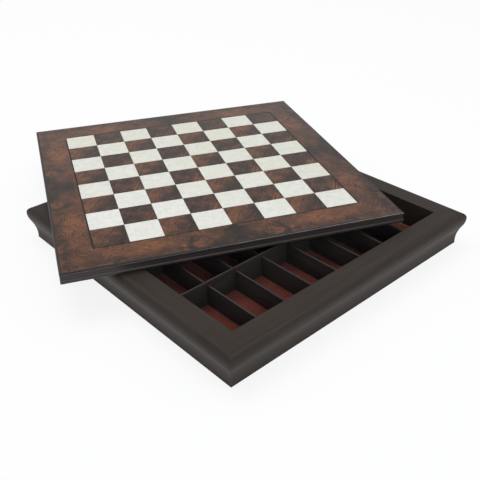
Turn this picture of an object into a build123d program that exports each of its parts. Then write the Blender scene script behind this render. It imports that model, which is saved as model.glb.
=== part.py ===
from build123d import *
import os

# A chess board that is the loose lid of a compartmented storage tray.
# Millimetres, +Z up. The origin is the middle of the tray's underside,
# +X runs along the tray's front side and +Y towards its back.

# Playing field on the lid
SQUARE_SIDE = 40.0
SQUARES_PER_SIDE = 8
SQUARE_JOINT = 0.2
VENEER_THICKNESS = 0.7
STRINGING_WIDTH = 1.5
BORDER_WIDTH = 37.1

# Lid panel
CORE_THICKNESS = 11.0
LID_BAIZE_THICKNESS = 0.8

# Lipping round the lid's edge: a sloping shoulder above a shallow hollow above a rounded foot
LIPPING_BASE_WIDTH = 3.1
LIPPING_TOP_WIDTH = 1.7
LIPPING_SHOULDER = 1.3
LIPPING_SHOULDER_BULGE = 0.12
LIPPING_QUIRK_DEPTH = 0.6
LIPPING_HOLLOW_DEPTH = 0.3
LIPPING_FOOT_HEIGHT = 4.0
LIPPING_FOOT_PROUD = 0.8

# How the lid lies on the tray: lifted by a hair, slid back and turned clockwise
LID_SEAT_GAP = 0.2
LID_SHIFT_X = 19.5
LID_SHIFT_Y = 112.4
LID_TURN_DEGREES = 24.52
LID_OVERHANG = 7.0

# Tray rails: flat rim, rounded nose, ogee below it and a small foot
RAIL_WIDTH = 29.05
RAIL_HEIGHT = 43.0
RIM_ARRIS = 0.8
NOSE_RADIUS = 7.9
NOSE_LAND = 0.6
OGEE_DEPTH = 7.0
OGEE_TURN = 0.38
WAIST_HEIGHT = 5.7
FOOT_PROUD = 0.2
FOOT_HEIGHT = 2.0

# Wafers across the tray's mitres
BISCUIT_LENGTH = 22.0
BISCUIT_WIDTH = 14.0
BISCUIT_THICKNESS = 4.0
BISCUIT_CLEARANCE = 0.1

# Tray base and its linings
BASE_THICKNESS = 9.0
BASE_CLEARANCE = 0.3
REBATE_DEPTH = 10.0
LINING_THICKNESS = 0.6
LINING_CLEARANCE = 0.2
TRAY_BAIZE_THICKNESS = 0.8
TRAY_BAIZE_INSET = 3.0
TRAY_BAIZE_CORNER = 4.0

# Countersunk screws that hold the base in its rebate
SCREWS_PER_SIDE = 3
SCREW_CORNER_INSET = 40.0
SCREW_LENGTH = 16.0
SCREW_DIAMETER = 3.0
SCREW_HEAD_DIAMETER = 6.0
SCREW_HEAD_HEIGHT = 1.7
SCREW_POINT_LENGTH = 2.5
SCREW_CLEARANCE = 0.1

# Dividers, halved over each other
DIVIDER_THICKNESS = 2.4
DIVIDER_EDGE_RADIUS = 0.5
DIVIDER_END_CLEARANCE = 0.15
HALVING_CLEARANCE = 0.1
LONG_DIVIDER_DROP = 3.8
CROSS_DIVIDER_DROP = 7.9
COMPARTMENT_ROWS = 4
CROSS_DIVIDERS = 7
FIRST_COLUMN_WIDTH = 38.05
LAST_COLUMN_WIDTH = 52.05

# Widths that follow, all counted from the middle outwards
FIELD_HALF = SQUARE_SIDE * SQUARES_PER_SIDE / 2
STRINGING_HALF = FIELD_HALF + STRINGING_WIDTH
CORE_HALF = STRINGING_HALF + BORDER_WIDTH
LID_HALF = CORE_HALF + LIPPING_BASE_WIDTH
TRAY_HALF = LID_HALF - LID_OVERHANG
OPENING_HALF = TRAY_HALF - RAIL_WIDTH
RAIL_WAIST = RAIL_WIDTH - OGEE_DEPTH

# Heights that follow, all counted from the surface the tray stands on
RAIL_BOTTOM = TRAY_BAIZE_THICKNESS
BASE_TOP = RAIL_BOTTOM + BASE_THICKNESS
FLOOR_TOP = BASE_TOP + LINING_THICKNESS
RIM_TOP = RAIL_BOTTOM + RAIL_HEIGHT
LONG_DIVIDER_HEIGHT = RIM_TOP - LONG_DIVIDER_DROP - FLOOR_TOP
CROSS_DIVIDER_HEIGHT = RIM_TOP - CROSS_DIVIDER_DROP - FLOOR_TOP
HALVING_HEIGHT = CROSS_DIVIDER_HEIGHT / 2
CORE_TOP = LID_BAIZE_THICKNESS + CORE_THICKNESS
LID_THICKNESS = CORE_TOP + VENEER_THICKNESS

SIDES = ("front", "right", "back", "left")
FRONT_SECTION_PLANE = Plane(origin=(0, 0, 0), x_dir=(0, -1, 0), z_dir=(-1, 0, 0))
LID_PLACE = Location(
    (LID_SHIFT_X, LID_SHIFT_Y, RIM_TOP + LID_SEAT_GAP),
    (0, 0, -LID_TURN_DEGREES),
)
ON_FLOOR = (Align.CENTER, Align.CENTER, Align.MIN)


def side_turns():
    """Degrees about Z that take the front side to each side in turn."""
    return [360 / len(SIDES) * index for index in range(len(SIDES))]


def long_divider_places():
    """Y of each long divider's middle, so that the rows are equally deep."""
    row_depth = 2 * OPENING_HALF / COMPARTMENT_ROWS
    return [-OPENING_HALF + row_depth * row for row in range(1, COMPARTMENT_ROWS)]


def cross_divider_places():
    """X of each cross divider's middle, evenly spaced between the two end columns."""
    first = -OPENING_HALF + FIRST_COLUMN_WIDTH
    last = OPENING_HALF - LAST_COLUMN_WIDTH
    pitch = (last - first) / (CROSS_DIVIDERS - 1)
    return [first + pitch * index for index in range(CROSS_DIVIDERS)]


def slab(half_width, thickness, bottom):
    """A square board about the Z axis, from bottom upwards."""
    return Pos(0, 0, bottom) * Box(2 * half_width, 2 * half_width, thickness, align=ON_FLOOR)


def mitred_side(section, inner_half, outer_half):
    """The front side of a square frame: its section run along X and cut on both diagonals."""
    placed = FRONT_SECTION_PLANE * Pos(inner_half, 0) * section
    bar = extrude(placed, amount=2 * outer_half, both=True)
    reach = 2 * outer_half
    sector = make_face(Polyline((0, 0), (-reach, -reach), (reach, -reach), close=True))
    return bar & extrude(sector, amount=reach, both=True)


def four_sides(name, front_side):
    """The front side turned to all four sides, named after each."""
    return {f"{name}_{side}": Rot(0, 0, turn) * front_side for side, turn in zip(SIDES, side_turns())}


def group(shapes):
    """Separate solids under one name."""
    return Compound(children=list(shapes))


def rail_section():
    """Tray rail section, X outwards from the opening's wall and Y up from the rail's underside."""
    nose_bottom = RAIL_HEIGHT - NOSE_RADIUS - NOSE_LAND
    nose = Vector(RAIL_WIDTH, nose_bottom)
    waist = Vector(RAIL_WAIST, WAIST_HEIGHT)
    turn = nose + (waist - nose) * OGEE_TURN
    foot_width = RAIL_WAIST + FOOT_PROUD
    return make_face([
        Line((REBATE_DEPTH, BASE_THICKNESS), (0, BASE_THICKNESS)),
        Line((0, BASE_THICKNESS), (0, RAIL_HEIGHT - RIM_ARRIS)),
        TangentArc((0, RAIL_HEIGHT - RIM_ARRIS), (RIM_ARRIS, RAIL_HEIGHT), tangent=(0, 1)),
        Line((RIM_ARRIS, RAIL_HEIGHT), (RAIL_WIDTH - NOSE_RADIUS, RAIL_HEIGHT)),
        TangentArc(
            (RAIL_WIDTH - NOSE_RADIUS, RAIL_HEIGHT),
            (RAIL_WIDTH, RAIL_HEIGHT - NOSE_RADIUS),
            tangent=(1, 0),
        ),
        Line((RAIL_WIDTH, RAIL_HEIGHT - NOSE_RADIUS), nose),
        TangentArc(nose, turn, tangent=(0, -1)),
        TangentArc(waist, turn, tangent=(0, 1)),
        Line(waist, (RAIL_WAIST, FOOT_HEIGHT)),
        Line((RAIL_WAIST, FOOT_HEIGHT), (foot_width, FOOT_HEIGHT - FOOT_PROUD)),
        Line((foot_width, FOOT_HEIGHT - FOOT_PROUD), (foot_width, 0)),
        Line((foot_width, 0), (REBATE_DEPTH, 0)),
        Line((REBATE_DEPTH, 0), (REBATE_DEPTH, BASE_THICKNESS)),
    ])


def lipping_section():
    """Lid lipping section, X outwards from the core's edge and Y up from the lid's underside."""
    shoulder_top = (LIPPING_TOP_WIDTH, LID_THICKNESS)
    shoulder_foot = (LIPPING_TOP_WIDTH + LIPPING_SHOULDER, LID_THICKNESS - LIPPING_SHOULDER)
    quirk = (shoulder_foot[0] - LIPPING_QUIRK_DEPTH, shoulder_foot[1])
    neck_x = LIPPING_BASE_WIDTH - LIPPING_FOOT_PROUD
    foot_top = (neck_x, LIPPING_FOOT_HEIGHT)
    foot_middle = (LIPPING_BASE_WIDTH, LIPPING_FOOT_HEIGHT / 2)
    return make_face([
        Line((0, 0), (neck_x, 0)),
        ThreePointArc((neck_x, 0), foot_middle, foot_top),
        SagittaArc(foot_top, quirk, LIPPING_HOLLOW_DEPTH),
        Line(quirk, shoulder_foot),
        SagittaArc(shoulder_top, shoulder_foot, LIPPING_SHOULDER_BULGE),
        Line(shoulder_top, (0, LID_THICKNESS)),
        Line((0, LID_THICKNESS), (0, 0)),
    ])


def biscuit(clearance):
    """A lens-shaped wafer lying flat with its length along X, grown by clearance all round."""
    tip = BISCUIT_LENGTH / 2 + clearance
    belly = BISCUIT_WIDTH / 2 + clearance
    outline = make_face([
        ThreePointArc((-tip, 0), (0, belly), (tip, 0)),
        ThreePointArc((tip, 0), (0, -belly), (-tip, 0)),
    ])
    return extrude(outline, amount=BISCUIT_THICKNESS / 2 + clearance, both=True)


def biscuits(clearance):
    """One wafer across each of the tray's four mitres."""
    middle = OPENING_HALF + RAIL_WAIST / 2
    first = Pos(middle, -middle, RAIL_BOTTOM + RAIL_HEIGHT / 2) * Rot(0, 0, -45) * biscuit(clearance)
    return [Rot(0, 0, turn) * first for turn in side_turns()]


def screw(clearance):
    """A countersunk screw pointing up from its head's flat, grown by clearance."""
    head_radius = SCREW_HEAD_DIAMETER / 2 + clearance
    shank_radius = SCREW_DIAMETER / 2 + clearance
    length = SCREW_LENGTH + clearance
    outline = Polyline(
        (0, 0),
        (head_radius, 0),
        (shank_radius, SCREW_HEAD_HEIGHT),
        (shank_radius, length - SCREW_POINT_LENGTH),
        (0, length),
        close=True,
    )
    return revolve(Plane.XZ * make_face(outline), axis=Axis.Z)


def screws(clearance):
    """The screws of all four sides, along the middle of the rebate."""
    end = OPENING_HALF - SCREW_CORNER_INSET
    step = 2 * end / (SCREWS_PER_SIDE - 1)
    row_y = -OPENING_HALF - REBATE_DEPTH / 2
    places = [-end + step * index for index in range(SCREWS_PER_SIDE)]
    row = [Pos(place, row_y, RAIL_BOTTOM) * screw(clearance) for place in places]
    return [Rot(0, 0, turn) * one for turn in side_turns() for one in row]


def tray_rails():
    """Four mitred rails with slots for the wafers and pilot holes for the screws."""
    rail = Pos(0, 0, RAIL_BOTTOM) * mitred_side(rail_section(), OPENING_HALF, TRAY_HALF)
    cutters = biscuits(BISCUIT_CLEARANCE) + screws(SCREW_CLEARANCE)
    return {name: side - cutters for name, side in four_sides("tray_rail", rail).items()}


def tray_base():
    """The base board in its rebate with what covers it above and below and what holds it."""
    board = slab(OPENING_HALF + REBATE_DEPTH - BASE_CLEARANCE, BASE_THICKNESS, RAIL_BOTTOM)
    baize_half = OPENING_HALF + RAIL_WAIST + FOOT_PROUD - TRAY_BAIZE_INSET
    baize = slab(baize_half, TRAY_BAIZE_THICKNESS, 0)
    return {
        "base_board": board - screws(SCREW_CLEARANCE),
        "floor_lining": slab(OPENING_HALF - LINING_CLEARANCE, LINING_THICKNESS, BASE_TOP),
        "underside_baize": fillet(baize.edges().filter_by(Axis.Z), TRAY_BAIZE_CORNER),
        "base_screws": group(screws(0)),
        "mitre_biscuits": group(biscuits(0)),
    }


def divider_board(height):
    """A thin board as long as the opening, along X, with its top edges eased."""
    length = 2 * (OPENING_HALF - DIVIDER_END_CLEARANCE)
    board = Pos(0, 0, FLOOR_TOP) * Box(length, DIVIDER_THICKNESS, height, align=ON_FLOOR)
    top_edges = board.edges().filter_by(Axis.X).group_by(Axis.Z)[-1]
    return fillet(top_edges, min(DIVIDER_EDGE_RADIUS, 0.4 * DIVIDER_THICKNESS))


def halving(place, bottom, height):
    """The slot across a divider board at one place along it."""
    width = DIVIDER_THICKNESS + 2 * HALVING_CLEARANCE
    return Pos(place, 0, FLOOR_TOP + bottom) * Box(width, 2 * DIVIDER_THICKNESS, height, align=ON_FLOOR)


def dividers():
    """Long dividers slotted from below, and lower cross dividers slotted from above."""
    long_board = divider_board(LONG_DIVIDER_HEIGHT)
    long_board -= [halving(place, 0, HALVING_HEIGHT) for place in cross_divider_places()]
    cross_board = divider_board(CROSS_DIVIDER_HEIGHT)
    slot_bottom = HALVING_HEIGHT - HALVING_CLEARANCE
    slot_height = CROSS_DIVIDER_HEIGHT - slot_bottom
    cross_board -= [halving(place, slot_bottom, slot_height) for place in long_divider_places()]
    nodes = {}
    for index, place in enumerate(long_divider_places(), start=1):
        nodes[f"long_divider_{index}"] = Pos(0, place, 0) * long_board
    for index, place in enumerate(cross_divider_places(), start=1):
        nodes[f"cross_divider_{index}"] = Pos(place, 0, 0) * Rot(0, 0, 90) * cross_board
    return nodes


def veneer_frame(name, inner_half, outer_half):
    """Four mitred strips of veneer lying on the core."""
    width = outer_half - inner_half
    strip = Pos(width / 2, VENEER_THICKNESS / 2) * Rectangle(width, VENEER_THICKNESS)
    side = Pos(0, 0, CORE_TOP) * mitred_side(strip, inner_half, outer_half)
    return four_sides(name, side)


def squares():
    """The chequered field: each rank has its light and its dark squares, dark at the front left."""
    side = SQUARE_SIDE - SQUARE_JOINT
    square = Box(side, side, VENEER_THICKNESS, align=ON_FLOOR)
    nodes = {}
    for rank in range(SQUARES_PER_SIDE):
        middle_y = -FIELD_HALF + SQUARE_SIDE * (rank + 0.5)
        for shade, first_file in (("dark", rank % 2), ("light", (rank + 1) % 2)):
            files = range(first_file, SQUARES_PER_SIDE, 2)
            nodes[f"{shade}_squares_rank_{rank + 1}"] = group(
                Pos(-FIELD_HALF + SQUARE_SIDE * (file + 0.5), middle_y, CORE_TOP) * square
                for file in files
            )
    return nodes


def lid():
    """The board: core, veneers, lipping and the baize under it, square to its own axes."""
    lipping = mitred_side(lipping_section(), CORE_HALF, LID_HALF)
    nodes = {
        "lid_core": slab(CORE_HALF, CORE_THICKNESS, LID_BAIZE_THICKNESS),
        "lid_baize": slab(CORE_HALF, LID_BAIZE_THICKNESS, 0),
    }
    nodes.update(four_sides("lid_lipping", lipping))
    nodes.update(veneer_frame("border_veneer", STRINGING_HALF, CORE_HALF))
    nodes.update(veneer_frame("stringing", FIELD_HALF, STRINGING_HALF))
    nodes.update(squares())
    return nodes


def all_nodes():
    """Every named piece where it lies at rest."""
    nodes = {}
    nodes.update(tray_rails())
    nodes.update(tray_base())
    nodes.update(dividers())
    nodes.update({name: LID_PLACE * shape for name, shape in lid().items()})
    return nodes


def main():
    os.makedirs("parts", exist_ok=True)
    for name, shape in all_nodes().items():
        export_step(shape, f"parts/{name}.step")


if __name__ == "__main__":
    main()
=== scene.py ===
import random
from math import atan2, cos, radians, sin, tau

import bmesh
import bpy
from mathutils import Euler, Matrix, Vector


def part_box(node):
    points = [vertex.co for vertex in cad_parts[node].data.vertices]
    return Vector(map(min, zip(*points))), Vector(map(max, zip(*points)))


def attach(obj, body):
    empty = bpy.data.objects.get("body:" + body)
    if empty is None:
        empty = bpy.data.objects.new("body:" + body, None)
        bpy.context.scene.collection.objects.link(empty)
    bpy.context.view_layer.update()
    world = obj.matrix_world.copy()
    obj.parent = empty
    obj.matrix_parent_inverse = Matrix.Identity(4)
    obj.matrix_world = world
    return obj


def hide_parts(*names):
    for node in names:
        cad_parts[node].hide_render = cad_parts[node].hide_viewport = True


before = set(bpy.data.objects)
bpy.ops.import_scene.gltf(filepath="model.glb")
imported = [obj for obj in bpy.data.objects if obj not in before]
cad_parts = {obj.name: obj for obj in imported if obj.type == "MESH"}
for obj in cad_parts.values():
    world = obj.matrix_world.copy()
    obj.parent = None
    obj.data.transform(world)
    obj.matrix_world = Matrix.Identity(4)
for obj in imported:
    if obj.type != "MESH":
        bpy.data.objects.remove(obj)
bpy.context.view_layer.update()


def middle(node):
    """The middle of a CAD node's box."""
    low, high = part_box(node)
    return (low + high) / 2


def points(node):
    """The corners of a CAD node's mesh."""
    return [vertex.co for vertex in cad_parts[node].data.vertices]


def half_width(node, centre, turn):
    """How far a CAD node reaches from a centre along the X of a frame turned about Z."""
    unturn = Matrix.Rotation(-turn, 3, "Z")
    return max((unturn @ (point - centre)).x for point in points(node))


def srgb(red, green, blue):
    """A colour written in 0 to 255 display steps, as linear light with alpha."""
    def linear(step):
        part = step / 255
        return part / 12.92 if part <= 0.04045 else ((part + 0.055) / 1.055) ** 2.4
    return (linear(red), linear(green), linear(blue), 1.0)


# The camera, solved from the photograph's chequered grid: metres and degrees, lens and sensor in millimetres
CAMERA_PLACE = (-0.49006, -0.54191, 0.45389)
CAMERA_AZIMUTH = -41.775
CAMERA_ELEVATION = 31.868
CAMERA_ROLL = -0.885
CAMERA_LENS = 50.46
CAMERA_SENSOR = 36.0
CAMERA_CLIP_START = 0.01

# The studio: where the lamps look and how far off they stand, and how bright the surroundings are
LAMP_AIM = Vector((0.05, 0.1, 0.0))
LAMP_DISTANCE = 2.5
WHITE = (1.0, 1.0, 1.0)
COOL_WHITE = (0.75, 0.91, 1.0)
DIM_AZIMUTH = -160.0
DIM_SIDE = (cos(radians(DIM_AZIMUTH)), sin(radians(DIM_AZIMUTH)), 0.0)
DIM_LEVEL = 0.18
PALE_LEVEL = 0.74
BACKDROP_LEVEL = 0.76
FLOOR_RADIUS = 8.0
FLOOR_SIDES = 96
FLOOR_DROP = 0.0003
FLOOR_COLOUR = (0.92, 0.92, 0.92, 1.0)
FLOOR_GLOW = (1.0, 1.0, 1.0, 1.0)
FLOOR_GLOW_SHARE = 0.85

# Where the lid lies and how far it is turned, from the two back corners of its core
LID_MIDDLE = middle("lid_core")
RIGHT_CORNER = max(points("lid_core"), key=lambda point: point.x)
LEFT_CORNER = max(points("lid_core"), key=lambda point: point.y)
LID_TURN = atan2(RIGHT_CORNER.y - LEFT_CORNER.y, RIGHT_CORNER.x - LEFT_CORNER.x)
SQUARES_PER_SIDE = 8
FIELD_SIDE = 2 * half_width("light_squares_rank_1", LID_MIDDLE, LID_TURN)
SQUARE_SIDE = FIELD_SIDE / SQUARES_PER_SIDE
BORDER_INNER = half_width("stringing_front", LID_MIDDLE, LID_TURN)

# The sloping shoulder on the lid's edge
SHOULDER_HEIGHT = 0.0013
SHOULDER_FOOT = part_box("lid_lipping_front")[1].z - SHOULDER_HEIGHT - LID_MIDDLE.z
SHOULDER_BLUR = 0.0002
SHOULDER_COLOUR = srgb(34, 27, 26)

# Burl of both kinds, with the scales of its noises in cycles per metre
BAND_SCALE = 420.0
BAND_BREAK_SCALE = 130.0
BAND_CONTRAST = 1.5
MOTTLE_SCALE = 230.0
MOTTLE_CONTRAST = 0.75
BURL_GRAIN_SCALE = 640.0
BURL_GRAIN_CONTRAST = 0.5
BURL_PORE_SCALE = 1500.0
BURL_PORE_SHADE = 0.35
VEIN_SHADE = 0.65
VEIN_COLOUR = srgb(34, 26, 23)

# The border's burl: places lie along a strip from its middle, then outwards from its inner edge, in metres
BORDER_STOPS = [
    (0.00, srgb(36, 28, 23)),
    (0.35, srgb(67, 46, 35)),
    (0.65, srgb(95, 60, 42)),
    (1.00, srgb(127, 80, 52)),
]
SIDE_STEP = 0.002
GENTLE_WARPS = ((55.0, 0.009), (150.0, 0.003))
FLOW_WARPS = ((34.0, 0.012), (120.0, 0.004))
BORDER_BROAD_SCALE = 36.0
BACK_RIGHT_LOSS = 0.1
WAVE_SCALE = 24.0
WAVE_HEIGHT = 0.1
STRETCH_PLACE = (0.108, 0.011)
STRETCH_REACH = (0.05, 0.018)
STRETCH_GAIN = 0.3
BLOTCH_SCALE = 60.0
BLOTCH_STARTS = (0.018, 0.032)
BLOTCH_LOSS = 0.3
PATCH_TOP = 0.003
PATCH_SPREAD = 0.9
PATCH_CORE = -0.006
PATCH_BLUR = 0.014
PATCH_UNEVEN_SCALE = 200.0
PATCH_UNEVEN_REACH = 0.022
PATCH_LOSS = 0.42
KNOT_PLACE = (0.0425, 0.026)
KNOT_REACH = (0.0095, 0.0085)
KNOT_RADIUS = 0.6
KNOT_GAIN = 0.3
KNOT_BACK_RIGHT_SHARE = 0.35
SWIRL_RADIUS = 1.55
SWIRL_STARTS = (KNOT_PLACE[0] - 0.004, KNOT_PLACE[0] + 0.008)
SWIRL_INNER_SHARE = 0.25
SWIRL_LOSS = 0.28
CORNER_PLACE = (0.15, 0.0)
CORNER_STARTS = (0.145, 0.163)
CORNER_GAIN = 0.08
RING_SPACING = 0.0042
RING_CLEAR_SCALE = 70.0
RING_FAINTEST = 0.03
RING_CLEAREST = 0.15

# The dark squares' two leaves: places are in parts of a square, from its front left corner
SQUARE_STOPS = [
    (0.00, srgb(38, 27, 22)),
    (0.40, srgb(67, 46, 38)),
    (0.70, srgb(93, 60, 43)),
    (1.00, srgb(121, 77, 50)),
]
LEAF_WARPS = ((50.0, 0.008), (160.0, 0.004))
FILE_STEP = 0.0015
RANK_STEP = 0.0045
LEAF_STEP = 0.5
FIGURE_SLANT = -0.55
FIGURE_WAVE_SCALE = 45.0
FIGURE_WAVE_HEIGHT = 0.017
LEAF_BROAD_SCALE = 75.0
LEAF_BROAD_SWING = 0.22
FIRST_LEAF_SLANT = -0.6
FIRST_LEAF_WARMTH = (0.7, 0.18)
SECOND_LEAF_WARMTH = 0.3
TONGUE_PLACE = (0.78, 0.05)
TONGUE_REACH = (0.22, 0.55)
TONGUE_RANKS = (2.0, 7.0)
TONGUE_GAINS = (0.42, 0.08)

# The pale squares: their own shades, and the tints that these are multiplied by: each leaf's own tint, plus
# painted light that whitens them towards the front left
PALE_STOPS = [
    (0.0, srgb(217, 217, 211)),
    (0.5, srgb(226, 226, 221)),
    (1.0, srgb(236, 236, 232)),
]
LEAF_TINT_AND_PAINTED_LIGHT_STOPS = [
    (0.0, srgb(244, 243, 233)),
    (1.0, srgb(255, 255, 254)),
]
PALE_CLOUD_SCALE = 140.0
PALE_FLECK_SCALE = 700.0
PALE_FLECK_SHARE = 0.25
PAINTED_LIGHT_SLANT = 0.5
TINT_LEAF_SHARE = 0.3
PAINTED_LIGHT_FRONT_SHARE = 0.7

# Straight-grained woods: dark and light colour of each, and the grain that they share
RAIL_COLOURS = (srgb(44, 37, 33), srgb(58, 49, 44))
LIPPING_COLOURS = (srgb(50, 43, 41), srgb(66, 57, 55))
DIVIDER_COLOURS = (srgb(46, 41, 40), srgb(64, 57, 55))
STRINGING_COLOURS = (srgb(22, 17, 16), srgb(34, 27, 25))
BEECH_COLOURS = (srgb(168, 126, 86), srgb(204, 166, 122))
GRAIN_STRETCH = 0.06
STREAK_SCALE = 420.0
STREAK_SHARE = 0.6
BROAD_STREAK_SCALE = 70.0
BROAD_STREAK_SHARE = 0.6
WOOD_PORE_SCALE = 1600.0
GRAIN_RELIEF = 0.12
GRAIN_DEPTH = 0.0002

# Felt, fibreboard and plated steel: dark and light colour of each, and the scales of their noises
BAIZE_COLOURS = (srgb(52, 34, 26), srgb(72, 48, 37))
LINING_COLOURS = (srgb(76, 33, 25), srgb(104, 47, 35))
BOARD_COLOURS = (srgb(104, 76, 52), srgb(150, 116, 84))
STEEL_STOPS = [
    (0.3, srgb(150, 152, 156)),
    (0.7, srgb(186, 188, 190)),
]
FIBRE_SCALE = 1400.0
FIBRE_SHARE = 0.5
NAP_CLOUD_SCALE = 60.0
NAP_CLOUD_SHARE = 0.5
BOARD_FLECK_SCALE = 900.0
STEEL_PATCH_SCALE = 700.0

# Felt sheets: the spacing of their points in metres, and how far the nap dips in parts of the thickness
SHEET_CELL = 0.004
NAP_DIP = 0.15

# Numbers of the Mix node's sockets
MIX_FIRST_NUMBER = 2
MIX_SECOND_NUMBER = 3
MIX_FIRST_COLOUR = 6
MIX_SECOND_COLOUR = 7
MIX_COLOUR_RESULT = 2
NOISE_MEAN = 0.5


class Nodes:
    """Shader nodes of the world or of a material, added with one call each."""

    def __init__(self, node_tree):
        self.nodes = node_tree.nodes
        self.links = node_tree.links

    def put(self, socket, value):
        """Links a socket to another node's output, or sets it to a plain value."""
        if isinstance(value, bpy.types.NodeSocket):
            self.links.new(value, socket)
        else:
            socket.default_value = value

    def add(self, kind, inputs, output=0, **settings):
        """A node with its settings and inputs. Returns one of its outputs."""
        node = self.nodes.new(kind)
        for name, value in settings.items():
            setattr(node, name, value)
        for key, value in inputs.items():
            self.put(node.inputs[key], value)
        return node.outputs[output]

    def math(self, operation, first, second=0.0, third=0.0):
        return self.add("ShaderNodeMath", {0: first, 1: second, 2: third}, operation=operation)

    def scaled_sum(self, value, factor, base):
        """A value times a factor, plus a base."""
        return self.math("MULTIPLY_ADD", value, factor, base)

    def vector(self, x, y, z):
        return self.add("ShaderNodeCombineXYZ", {0: x, 1: y, 2: z})

    def vector_math(self, operation, first, second, output="Vector"):
        inputs = {0: first, 1: second}
        return self.add("ShaderNodeVectorMath", inputs, output=output, operation=operation)

    def split(self, vector):
        """The X, Y and Z of a vector."""
        return self.add("ShaderNodeSeparateXYZ", {0: vector}).node.outputs

    def fit(self, value, low, high, new_low=0.0, new_high=1.0):
        """A value mapped smoothly from one range to another."""
        inputs = {"Value": value, "From Min": low, "From Max": high, "To Min": new_low, "To Max": new_high}
        return self.add("ShaderNodeMapRange", inputs, interpolation_type="SMOOTHSTEP")

    def fade(self, value, start, end, amount=1.0):
        """An amount that falls smoothly to nothing as a value goes from start to end."""
        return self.fit(value, start, end, amount, 0.0)

    def choose(self, factor, first, second):
        """A number between two, by factor."""
        inputs = {"Factor": factor, MIX_FIRST_NUMBER: first, MIX_SECOND_NUMBER: second}
        return self.add("ShaderNodeMix", inputs)

    def seen(self):
        """1 on rays from the camera, off gloss or through glass, and 0 on the rays that light the rest."""
        path = self.add("ShaderNodeLightPath", {}).node.outputs
        mirrored = self.math("MAXIMUM", path["Is Glossy Ray"], path["Is Transmission Ray"])
        return self.math("MAXIMUM", path["Is Camera Ray"], mirrored)


class Tree(Nodes):
    """A new material's shader nodes, with its patterns and its shader's sockets."""

    def __init__(self, name):
        self.material = bpy.data.materials.new(name)
        self.material.use_nodes = True
        super().__init__(self.material.node_tree)
        self.shader = self.nodes["Principled BSDF"]

    def set(self, **inputs):
        """Sets the shader's own sockets, named with underscores for spaces."""
        for key, value in inputs.items():
            self.put(self.shader.inputs[key.replace("_", " ")], value)

    def bump(self, height, strength, distance):
        """Fine relief from a height in 0 to 1, distance metres deep."""
        inputs = {"Height": height, "Strength": strength, "Distance": distance}
        self.set(Normal=self.add("ShaderNodeBump", inputs))

    def noise(self, vector, scale, detail=3.0, roughness=0.5, distortion=0.0, output="Fac"):
        inputs = {
            "Vector": vector, "Scale": scale, "Detail": detail,
            "Roughness": roughness, "Distortion": distortion,
        }
        return self.add("ShaderNodeTexNoise", inputs, output=output)

    def centred(self, noise):
        """A noise moved from about 0 to 1 to about -0.5 to 0.5."""
        return self.math("SUBTRACT", noise, NOISE_MEAN)

    def blend(self, factor, first, second, mode="MIX"):
        """A colour between two, by factor."""
        inputs = {"Factor": factor, MIX_FIRST_COLOUR: first, MIX_SECOND_COLOUR: second}
        return self.add(
            "ShaderNodeMix", inputs, output=MIX_COLOUR_RESULT, data_type="RGBA", blend_type=mode
        )

    def ramp(self, factor, stops):
        """A colour from a list of places and colours."""
        output = self.add("ShaderNodeValToRGB", {"Fac": factor})
        elements = output.node.color_ramp.elements
        while len(elements) < len(stops):
            elements.new(0.5)
        for element, (place, colour) in zip(elements, stops):
            element.position = place
            element.color = colour
        return output

    def shade(self, factor, colours):
        """A colour between a dark and a light one."""
        dark, light = colours
        return self.ramp(factor, [(0.0, dark), (1.0, light)])

    def distance(self, x, y, centre, reach):
        """Distance of x, y from a centre, in parts of the reach along each."""
        right = self.math("DIVIDE", self.math("SUBTRACT", x, centre[0]), reach[0])
        up = self.math("DIVIDE", self.math("SUBTRACT", y, centre[1]), reach[1])
        square = self.scaled_sum(right, right, self.math("MULTIPLY", up, up))
        return self.math("SQRT", square)

    def distance_from(self, value, middle_value):
        """How far a value is from another, either way."""
        return self.math("ABSOLUTE", self.math("SUBTRACT", value, middle_value))

    def place(self, origin=(0.0, 0.0, 0.0), turn=0.0):
        """X, Y and Z of the shaded point in a frame at origin, turned about Z."""
        here = self.add("ShaderNodeTexCoord", {}, output="Object")
        moved = self.vector_math("SUBTRACT", here, tuple(origin))
        inputs = {"Vector": moved, "Angle": -turn}
        return self.split(self.add("ShaderNodeVectorRotate", inputs, rotation_type="Z_AXIS"))

    def lid_place(self):
        """X, Y and Z of the shaded point in the lid's own frame."""
        return self.place(LID_MIDDLE, LID_TURN)

    def frame_side(self, x, y):
        """On a square frame: the place along a side, outwards from the middle, and the side's number.

        The front is 0, the left 1, the back 2 and the right 3.
        """
        across = self.math("GREATER_THAN", self.math("ABSOLUTE", x), self.math("ABSOLUTE", y))
        along = self.choose(across, x, y)
        outwards = self.math("MAXIMUM", self.math("ABSOLUTE", x), self.math("ABSOLUTE", y))
        far = self.math("GREATER_THAN", self.choose(across, y, x), 0.0)
        number = self.scaled_sum(far, 2.0, across)
        return along, outwards, number


def warped(tree, vector, warps):
    """A point pushed about by one noise after another, each of a scale and up to a reach in metres."""
    for scale, reach in warps:
        swirl = tree.noise(vector, scale, detail=1.0, output="Color")
        push = tree.vector_math("SUBTRACT", swirl, (NOISE_MEAN, NOISE_MEAN, NOISE_MEAN))
        push = tree.add("ShaderNodeVectorMath", {0: push, "Scale": 2 * reach}, operation="SCALE")
        vector = tree.vector_math("ADD", vector, push)
    return vector


def growth_bands(tree, flow, height):
    """Broken bands of uneven width that follow a height in metres, about -0.5 to 0.5."""
    inputs = {"W": height, "Scale": BAND_SCALE, "Detail": 2.0, "Roughness": 0.6}
    band = tree.add("ShaderNodeTexNoise", inputs, noise_dimensions="1D")
    breaks = tree.noise(flow, BAND_BREAK_SCALE, roughness=0.6)
    presence = tree.fit(breaks, 0.35, 0.65, new_low=0.3, new_high=1.25)
    return tree.math("MULTIPLY", tree.centred(band), presence)


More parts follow.
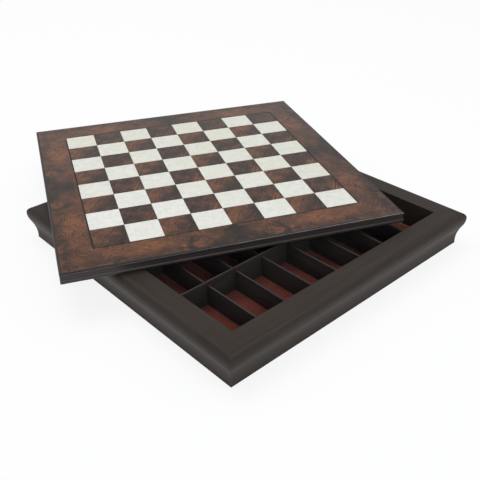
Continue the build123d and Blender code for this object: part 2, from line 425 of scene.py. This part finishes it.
def burl_shader(tree, flow, warmth, bands, stops):
    """Burl under satin lacquer, from how warm it is and its growth bands."""
    mottle = tree.noise(flow, MOTTLE_SCALE, detail=4.0, roughness=0.7)
    grain = tree.noise(flow, BURL_GRAIN_SCALE, detail=2.0, roughness=0.6)
    pores = tree.fit(tree.noise(flow, BURL_PORE_SCALE, detail=2.0, roughness=0.6), 0.58, 0.7)
    tone = tree.scaled_sum(tree.centred(mottle), MOTTLE_CONTRAST, warmth)
    tone = tree.scaled_sum(tree.centred(grain), BURL_GRAIN_CONTRAST, tone)
    tone = tree.scaled_sum(bands, BAND_CONTRAST, tone)
    veins = tree.fade(bands, -0.2, -0.08, VEIN_SHADE)
    shade = tree.math("MAXIMUM", veins, tree.math("MULTIPLY", pores, BURL_PORE_SHADE))
    tree.set(Base_Color=tree.blend(shade, tree.ramp(tone, stops), VEIN_COLOUR))
    tree.set(Roughness=tree.fit(mottle, 0.2, 0.8, new_low=0.24, new_high=0.16), Specular_IOR_Level=0.2)
    tree.bump(tree.math("SUBTRACT", 1.0, pores), strength=0.15, distance=0.0001)


def add_stretches(tree, warmth, point, length, depth):
    """A warm stretch between the middle and each end of a strip, darker in blotches at the outer edge."""
    stretch = tree.distance(length, depth, STRETCH_PLACE, STRETCH_REACH)
    warmth = tree.math("ADD", warmth, tree.fade(stretch, 0.2, 1.3, STRETCH_GAIN))
    edge = tree.fit(depth, *BLOTCH_STARTS, new_high=BLOTCH_LOSS)
    blotch = tree.fit(tree.noise(point, BLOTCH_SCALE, detail=2.0), 0.45, 0.62)
    return tree.math("SUBTRACT", warmth, tree.math("MULTIPLY", blotch, edge))


def add_patch(tree, warmth, flow, length, depth):
    """A dark patch at the middle of a strip, wider towards the outer edge."""
    reach = tree.math("MULTIPLY", tree.math("SUBTRACT", depth, PATCH_TOP), PATCH_SPREAD)
    uneven = tree.centred(tree.noise(flow, PATCH_UNEVEN_SCALE, roughness=0.6))
    edge = tree.scaled_sum(uneven, PATCH_UNEVEN_REACH, tree.math("SUBTRACT", length, reach))
    return tree.math("SUBTRACT", warmth, tree.fade(edge, PATCH_CORE, PATCH_BLUR, PATCH_LOSS))


def add_knot(tree, warmth, knot, length, strength):
    """A warm knot beside the middle of a strip, with a dark swirl round its outer side."""
    glow = tree.fade(tree.distance_from(knot, KNOT_RADIUS), 0.1, 0.6, KNOT_GAIN)
    warmth = tree.scaled_sum(glow, strength, warmth)
    outer = tree.fit(length, *SWIRL_STARTS, new_low=SWIRL_INNER_SHARE)
    swirl = tree.fade(tree.distance_from(knot, SWIRL_RADIUS), 0.15, 0.6, SWIRL_LOSS)
    swirl = tree.math("MULTIPLY", swirl, outer)
    return tree.math("SUBTRACT", warmth, tree.math("MULTIPLY", swirl, strength))


def border_bands(tree, flow, length, depth, knot, strength, ends):
    """Growth bands, but close rings round the knot and round each corner of the field."""
    waves = tree.noise(flow, WAVE_SCALE, detail=1.0, roughness=0.4)
    bands = growth_bands(tree, flow, tree.scaled_sum(waves, WAVE_HEIGHT, depth))
    corner = tree.distance(length, depth, CORNER_PLACE, reach=(1.0, 1.0))
    radius = tree.choose(ends, tree.math("MULTIPLY", knot, KNOT_REACH[0]), corner)
    rings = tree.math("SINE", tree.math("MULTIPLY", radius, tau / RING_SPACING))
    clear = tree.noise(flow, RING_CLEAR_SCALE, detail=2.0)
    clear = tree.fit(clear, 0.4, 0.62, RING_FAINTEST, RING_CLEAREST)
    near_knot = tree.math("MULTIPLY", tree.fade(knot, 1.2, 2.2), strength)
    near_either = tree.math("MAXIMUM", ends, near_knot)
    return tree.choose(near_either, bands, tree.math("MULTIPLY", rings, clear))


def burl_border():
    """Book-matched burl strips, mirrored about the middle of each side and mitred at the corners."""
    tree = Tree("burl_border")
    x, y, _ = tree.lid_place()
    along, outwards, number = tree.frame_side(x, y)
    inset = tree.math("SUBTRACT", outwards, BORDER_INNER)
    leaf = tree.math("MULTIPLY", number, SIDE_STEP)
    point = tree.vector(tree.math("ABSOLUTE", along), inset, leaf)
    length, depth, _ = tree.split(warped(tree, point, GENTLE_WARPS))
    flow = warped(tree, point, FLOW_WARPS)
    broad = tree.noise(flow, BORDER_BROAD_SCALE, detail=2.0)
    warmth = tree.fit(broad, 0.3, 0.7, new_low=0.32, new_high=0.68)
    warmth = tree.math("ADD", warmth, tree.fit(number, 1.0, 3.0, new_high=-BACK_RIGHT_LOSS))
    warmth = add_stretches(tree, warmth, point, length, depth)
    warmth = add_patch(tree, warmth, flow, length, depth)

    # The knots are plainest on the front and left sides
    strength = tree.fit(number, 0.0, 3.0, new_low=1.0, new_high=KNOT_BACK_RIGHT_SHARE)
    knot = tree.distance(length, depth, KNOT_PLACE, KNOT_REACH)
    warmth = add_knot(tree, warmth, knot, length, strength)
    ends = tree.fit(length, *CORNER_STARTS)
    warmth = tree.scaled_sum(ends, CORNER_GAIN, warmth)
    bands = border_bands(tree, flow, length, depth, knot, strength, ends)
    burl_shader(tree, flow, warmth, bands, BORDER_STOPS)
    return tree.material


def burl_squares():
    """Dark squares of two leaves that take turns from rank to rank, alike along a rank."""
    tree = Tree("burl_squares")
    x, y, _ = tree.lid_place()
    file_place = tree.scaled_sum(x, 1 / SQUARE_SIDE, SQUARES_PER_SIDE / 2)
    rank_place = tree.scaled_sum(y, 1 / SQUARE_SIDE, SQUARES_PER_SIDE / 2)
    file_number = tree.math("FLOOR", file_place)
    rank_number = tree.math("FLOOR", rank_place)
    across = tree.math("FRACT", file_place)
    deep = tree.math("FRACT", rank_place)
    second_leaf = tree.math("MODULO", rank_number, 2.0)
    sheet = tree.scaled_sum(file_number, FILE_STEP, tree.math("MULTIPLY", rank_number, RANK_STEP))
    sheet = tree.scaled_sum(second_leaf, LEAF_STEP, sheet)
    right = tree.math("MULTIPLY", across, SQUARE_SIDE)
    back = tree.math("MULTIPLY", deep, SQUARE_SIDE)
    flow = warped(tree, tree.vector(right, back, sheet), LEAF_WARPS)

    # The figure runs slanting up to the right
    slanted = tree.scaled_sum(back, FIGURE_SLANT, right)
    waves = tree.noise(flow, FIGURE_WAVE_SCALE, detail=1.0, roughness=0.4)
    height = tree.scaled_sum(waves, FIGURE_WAVE_HEIGHT, slanted)
    broad = tree.noise(flow, LEAF_BROAD_SCALE, detail=2.0)
    broad = tree.fit(broad, 0.3, 0.7, -LEAF_BROAD_SWING, LEAF_BROAD_SWING)

    # First leaf: warm at the upper left, dark along the lower right
    first = tree.fit(tree.scaled_sum(deep, FIRST_LEAF_SLANT, across), -0.1, 0.75, *FIRST_LEAF_WARMTH)

    # Second leaf: dark, with a warm tongue up from the lower right that weakens towards the back
    tongue = tree.fade(tree.distance(across, deep, TONGUE_PLACE, TONGUE_REACH), 0.3, 1.3)
    gain = tree.fit(rank_number, *TONGUE_RANKS, *TONGUE_GAINS)
    second = tree.scaled_sum(tongue, gain, SECOND_LEAF_WARMTH)
    warmth = tree.math("ADD", tree.choose(second_leaf, first, second), broad)
    burl_shader(tree, flow, warmth, growth_bands(tree, flow, height), SQUARE_STOPS)
    return tree.material


def pale_squares():
    """Pale pearly squares with a faint cloudy mottle, each leaf its own shade, and painted light that makes
    them whiter to the front left.
    """
    tree = Tree("pale_squares")
    x, y, z = tree.lid_place()
    point = tree.vector(x, y, z)
    cloud = tree.noise(point, PALE_CLOUD_SCALE, roughness=0.55, distortion=1.0)
    fleck = tree.noise(point, PALE_FLECK_SCALE, detail=2.0)
    level = tree.fit(tree.scaled_sum(fleck, PALE_FLECK_SHARE, cloud), 0.3, 0.95)
    file_number = tree.math("FLOOR", tree.math("DIVIDE", x, SQUARE_SIDE))
    rank_number = tree.math("FLOOR", tree.math("DIVIDE", y, SQUARE_SIDE))
    square = tree.vector(file_number, rank_number, 0.0)
    leaf = tree.add("ShaderNodeTexWhiteNoise", {"Vector": square}, output="Value")
    # Painted light: a tint that whitens the squares towards the front left, as if more light fell there
    painted_light_front = tree.fade(tree.scaled_sum(x, PAINTED_LIGHT_SLANT, y), -0.22, 0.1, PAINTED_LIGHT_FRONT_SHARE)
    leaf_tint_and_painted_light = tree.ramp(tree.scaled_sum(leaf, TINT_LEAF_SHARE, painted_light_front), LEAF_TINT_AND_PAINTED_LIGHT_STOPS)
    colour = tree.blend(1.0, tree.ramp(level, PALE_STOPS), leaf_tint_and_painted_light, "MULTIPLY")
    tree.set(Base_Color=colour, Roughness=0.42, Specular_IOR_Level=0.3)
    tree.bump(fleck, strength=0.1, distance=0.0001)
    return tree.material


def wood_grain(tree, along, across, up, colours):
    """Colour and relief of close straight grain running along one direction."""
    stretched = tree.vector(tree.math("MULTIPLY", along, GRAIN_STRETCH), across, up)
    streak = tree.noise(stretched, STREAK_SCALE, detail=4.0, roughness=0.65)
    broad = tree.noise(stretched, BROAD_STREAK_SCALE, detail=2.0)
    pore = tree.noise(stretched, WOOD_PORE_SCALE, detail=2.0, roughness=0.6)
    tone = tree.scaled_sum(broad, BROAD_STREAK_SHARE, tree.math("MULTIPLY", streak, STREAK_SHARE))
    return tree.shade(tree.fit(tone, 0.35, 0.85), colours), tree.math("ADD", streak, pore)


def rail_wood():
    """Dark stained rails with grain along each side."""
    tree = Tree("rail_wood")
    x, y, z = tree.place()
    along, outwards, _ = tree.frame_side(x, y)
    colour, relief = wood_grain(tree, along, outwards, z, RAIL_COLOURS)
    tree.set(Base_Color=colour, Roughness=0.5, Specular_IOR_Level=0.13)
    tree.bump(relief, GRAIN_RELIEF, GRAIN_DEPTH)
    return tree.material


def lipping_wood():
    """The same dark wood on the lid's edge, with the shoulder rubbed to a gloss at the front and back."""
    tree = Tree("lipping_wood")
    x, y, z = tree.lid_place()
    along, outwards, number = tree.frame_side(x, y)
    colour, relief = wood_grain(tree, along, outwards, z, LIPPING_COLOURS)
    shoulder = tree.fit(z, SHOULDER_FOOT, SHOULDER_FOOT + SHOULDER_BLUR)
    front_or_back = tree.math("SUBTRACT", 1.0, tree.math("MODULO", number, 2.0))
    gloss = tree.math("MULTIPLY", shoulder, front_or_back)
    tree.set(Base_Color=tree.blend(shoulder, colour, SHOULDER_COLOUR))
    tree.set(Roughness=tree.choose(gloss, 0.4, 0.14), Specular_IOR_Level=0.28)
    tree.bump(relief, GRAIN_RELIEF, GRAIN_DEPTH)
    return tree.material


def divider_wood(name, lengthwise):
    """Thin dark boards, with grain along X or Y."""
    tree = Tree(name)
    x, y, z = tree.place()
    along, across = (x, y) if lengthwise else (y, x)
    colour, relief = wood_grain(tree, along, across, z, DIVIDER_COLOURS)
    tree.set(Base_Color=colour, Roughness=0.5, Specular_IOR_Level=0.12)
    tree.bump(relief, GRAIN_RELIEF, GRAIN_DEPTH)
    return tree.material


def stringing_wood():
    """The thin dark line round the field."""
    tree = Tree("stringing_wood")
    x, y, z = tree.lid_place()
    along, outwards, _ = tree.frame_side(x, y)
    colour, _ = wood_grain(tree, along, outwards, z, STRINGING_COLOURS)
    tree.set(Base_Color=colour, Roughness=0.5, Specular_IOR_Level=0.12)
    return tree.material


def felt(name, colours):
    """Short felted nap, cloudy in tone."""
    tree = Tree(name)
    point = tree.vector(*tree.place())
    fibre = tree.noise(point, FIBRE_SCALE, roughness=0.7, distortion=1.5)
    cloud = tree.noise(point, NAP_CLOUD_SCALE)
    tone = tree.scaled_sum(cloud, NAP_CLOUD_SHARE, tree.math("MULTIPLY", fibre, FIBRE_SHARE))
    colour = tree.shade(tree.fit(tone, 0.3, 0.7), colours)
    tree.set(Base_Color=colour, Roughness=0.95, Specular_IOR_Level=0.1)
    tree.set(Sheen_Weight=0.2, Sheen_Roughness=0.5)
    tree.bump(fibre, strength=0.5, distance=0.0003)
    return tree.material


def fibreboard():
    """Pressed fibre with fine flecks."""
    tree = Tree("fibreboard")
    point = tree.vector(*tree.place())
    fleck = tree.noise(point, BOARD_FLECK_SCALE, detail=4.0, roughness=0.7)
    colour = tree.shade(tree.fit(fleck, 0.3, 0.7), BOARD_COLOURS)
    tree.set(Base_Color=colour, Roughness=0.8, Specular_IOR_Level=0.2)
    tree.bump(fleck, strength=0.3, distance=0.0002)
    return tree.material


def beech():
    """Pressed beech with grain along X."""
    tree = Tree("beech")
    colour, relief = wood_grain(tree, *tree.place(), BEECH_COLOURS)
    tree.set(Base_Color=colour, Roughness=0.7, Specular_IOR_Level=0.2)
    tree.bump(relief, strength=0.2, distance=GRAIN_DEPTH)
    return tree.material


def plated_steel():
    """Zinc plate, slightly dulled in patches."""
    tree = Tree("plated_steel")
    point = tree.vector(*tree.place())
    patch = tree.noise(point, STEEL_PATCH_SCALE, roughness=0.6)
    dulled = tree.fit(patch, 0.3, 0.7, new_low=0.28, new_high=0.45)
    tree.set(Base_Color=tree.ramp(patch, STEEL_STOPS), Metallic=1.0, Roughness=dulled)
    return tree.material


def dress(material, *starts):
    """Gives a material to every CAD node whose name starts so."""
    for name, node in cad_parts.items():
        if name.startswith(starts):
            node.data.materials.clear()
            node.data.materials.append(material)


def napped_slab(half, thickness, seed):
    """A closed square slab about the origin, with an uneven nap on its top and bottom."""
    shape = bmesh.new()
    cells = int(2 * half / SHEET_CELL)
    bmesh.ops.create_grid(shape, x_segments=cells, y_segments=cells, size=half)
    draw = random.Random(seed)
    for vertex in shape.verts:
        vertex.co.z = thickness / 2 - draw.random() * NAP_DIP * thickness
    lower = bmesh.ops.duplicate(shape, geom=shape.verts[:] + shape.edges[:] + shape.faces[:])
    lower_verts = [item for item in lower["geom"] if isinstance(item, bmesh.types.BMVert)]
    lower_faces = [item for item in lower["geom"] if isinstance(item, bmesh.types.BMFace)]
    for vertex in lower_verts:
        vertex.co.z = -thickness / 2 + draw.random() * NAP_DIP * thickness
    bmesh.ops.reverse_faces(shape, faces=lower_faces)
    rims = [edge for edge in shape.edges if edge.is_boundary]
    bmesh.ops.bridge_loops(shape, edges=rims)
    bmesh.ops.recalc_face_normals(shape, faces=shape.faces[:])
    return shape


def napped_sheet(name, node, body, material, turn, seed):
    """A felt sheet in the place of a CAD sheet, of the same size and turned as it is."""
    low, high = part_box(node)
    centre = (low + high) / 2
    thickness = high.z - low.z
    half = half_width(node, centre, turn)
    shape = napped_slab(half, thickness, seed)
    mesh = bpy.data.meshes.new(name)
    shape.to_mesh(mesh)
    shape.free()
    mesh.transform(Matrix.Translation(centre) @ Matrix.Rotation(turn, 4, "Z"))
    piece = bpy.data.objects.new(name, mesh)
    bpy.context.scene.collection.objects.link(piece)
    mesh.materials.append(material)
    for face in mesh.polygons:
        face.use_smooth = True
    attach(piece, body)
    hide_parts(node)


def make_camera():
    """The photograph's camera."""
    camera = bpy.data.objects.new("camera", bpy.data.cameras.new("camera"))
    camera.data.lens = CAMERA_LENS
    camera.data.sensor_width = CAMERA_SENSOR
    camera.data.clip_start = CAMERA_CLIP_START
    turn = Matrix.Rotation(radians(CAMERA_AZIMUTH), 4, "Z")
    tilt = Matrix.Rotation(radians(90 - CAMERA_ELEVATION), 4, "X")
    roll = Matrix.Rotation(radians(CAMERA_ROLL), 4, "Z")
    camera.matrix_world = Matrix.Translation(CAMERA_PLACE) @ turn @ tilt @ roll
    bpy.context.scene.collection.objects.link(camera)
    bpy.context.scene.camera = camera


def make_lamp(name, azimuth, elevation, size, power, colour=WHITE, reflected_only=False):
    """A soft lamp of a width and height, in a direction from the object in degrees, that looks at it.

    A lamp that is reflected only shows in glossy surfaces and lights nothing else.
    """
    lamp = bpy.data.objects.new(name, bpy.data.lights.new(name, "AREA"))
    lamp.data.shape = "RECTANGLE"
    lamp.data.size, lamp.data.size_y = size
    lamp.data.energy = power
    lamp.data.color = colour
    lamp.visible_diffuse = not reflected_only
    direction = Vector((1.0, 0.0, 0.0))
    direction.rotate(Euler((0.0, -radians(elevation), radians(azimuth))))
    lamp.location = LAMP_AIM + LAMP_DISTANCE * direction
    lamp.rotation_euler = direction.to_track_quat("Z", "Y").to_euler()
    bpy.context.scene.collection.objects.link(lamp)


def make_world():
    """An even pale backdrop where it is seen, and light that is dimmer from one side."""
    world = bpy.data.worlds.new("studio")
    world.use_nodes = True
    bpy.context.scene.world = world
    studio = Nodes(world.node_tree)
    direction = studio.add("ShaderNodeTexCoord", {}, output="Generated")
    facing = studio.vector_math("DOT_PRODUCT", direction, DIM_SIDE, output="Value")
    light = studio.fit(facing, 0.0, 1.0, PALE_LEVEL, DIM_LEVEL)
    shown = studio.choose(studio.seen(), light, BACKDROP_LEVEL)
    studio.put(studio.nodes["Background"].inputs["Color"], shown)


def make_floor():
    """A plain pale floor just under the tray, with a glow where it is seen that leaves a soft shadow."""
    bpy.ops.mesh.primitive_circle_add(
        vertices=FLOOR_SIDES, radius=FLOOR_RADIUS, fill_type="NGON", location=(0, 0, -FLOOR_DROP)
    )
    floor = bpy.context.object
    floor.name = "floor"
    tree = Tree("floor")
    tree.set(Base_Color=FLOOR_COLOUR, Roughness=0.9, Specular_IOR_Level=0.1)
    glow = tree.add("ShaderNodeEmission", {"Color": FLOOR_GLOW, "Strength": 1.0})
    share = tree.math("MULTIPLY", tree.seen(), FLOOR_GLOW_SHARE)
    mixed = tree.add("ShaderNodeMixShader", {0: share, 1: tree.shader.outputs[0], 2: glow})
    tree.put(tree.nodes["Material Output"].inputs["Surface"], mixed)
    floor.data.materials.append(tree.material)


dress(rail_wood(), "tray_rail")
dress(lipping_wood(), "lid_lipping")
dress(divider_wood("long_divider_wood", lengthwise=True), "long_divider")
dress(divider_wood("cross_divider_wood", lengthwise=False), "cross_divider")
dress(burl_border(), "border_veneer")
dress(burl_squares(), "dark_squares")
dress(pale_squares(), "light_squares")
dress(stringing_wood(), "stringing")
dress(fibreboard(), "lid_core", "base_board")
dress(beech(), "mitre_biscuits")
dress(plated_steel(), "base_screws")
brown_baize = felt("brown_baize", BAIZE_COLOURS)
red_lining = felt("red_lining", LINING_COLOURS)
dress(brown_baize, "underside_baize", "lid_baize")
dress(red_lining, "floor_lining")
napped_sheet(
    "lining_felt", "floor_lining", body="tray",
    material=red_lining, turn=0.0, seed=1,
)
napped_sheet(
    "tray_baize_felt", "underside_baize", body="tray",
    material=brown_baize, turn=0.0, seed=2,
)
napped_sheet(
    "lid_baize_felt", "lid_baize", body="lid",
    material=brown_baize, turn=LID_TURN, seed=3,
)

make_camera()
make_world()
make_lamp("strip_lamp", azimuth=-74, elevation=50, size=(1.7, 0.36), power=22.0, reflected_only=True)
make_lamp("back_lamp", azimuth=110, elevation=72, size=(1.4, 1.4), power=22.0)
make_lamp("side_lamp", azimuth=-15, elevation=66, size=(1.3, 1.3), power=2.0)
make_lamp("fill_lamp", azimuth=-118, elevation=28, size=(0.8, 0.8), power=12.5, colour=COOL_WHITE)
make_floor()
bpy.context.scene.view_settings.view_transform = "Standard"
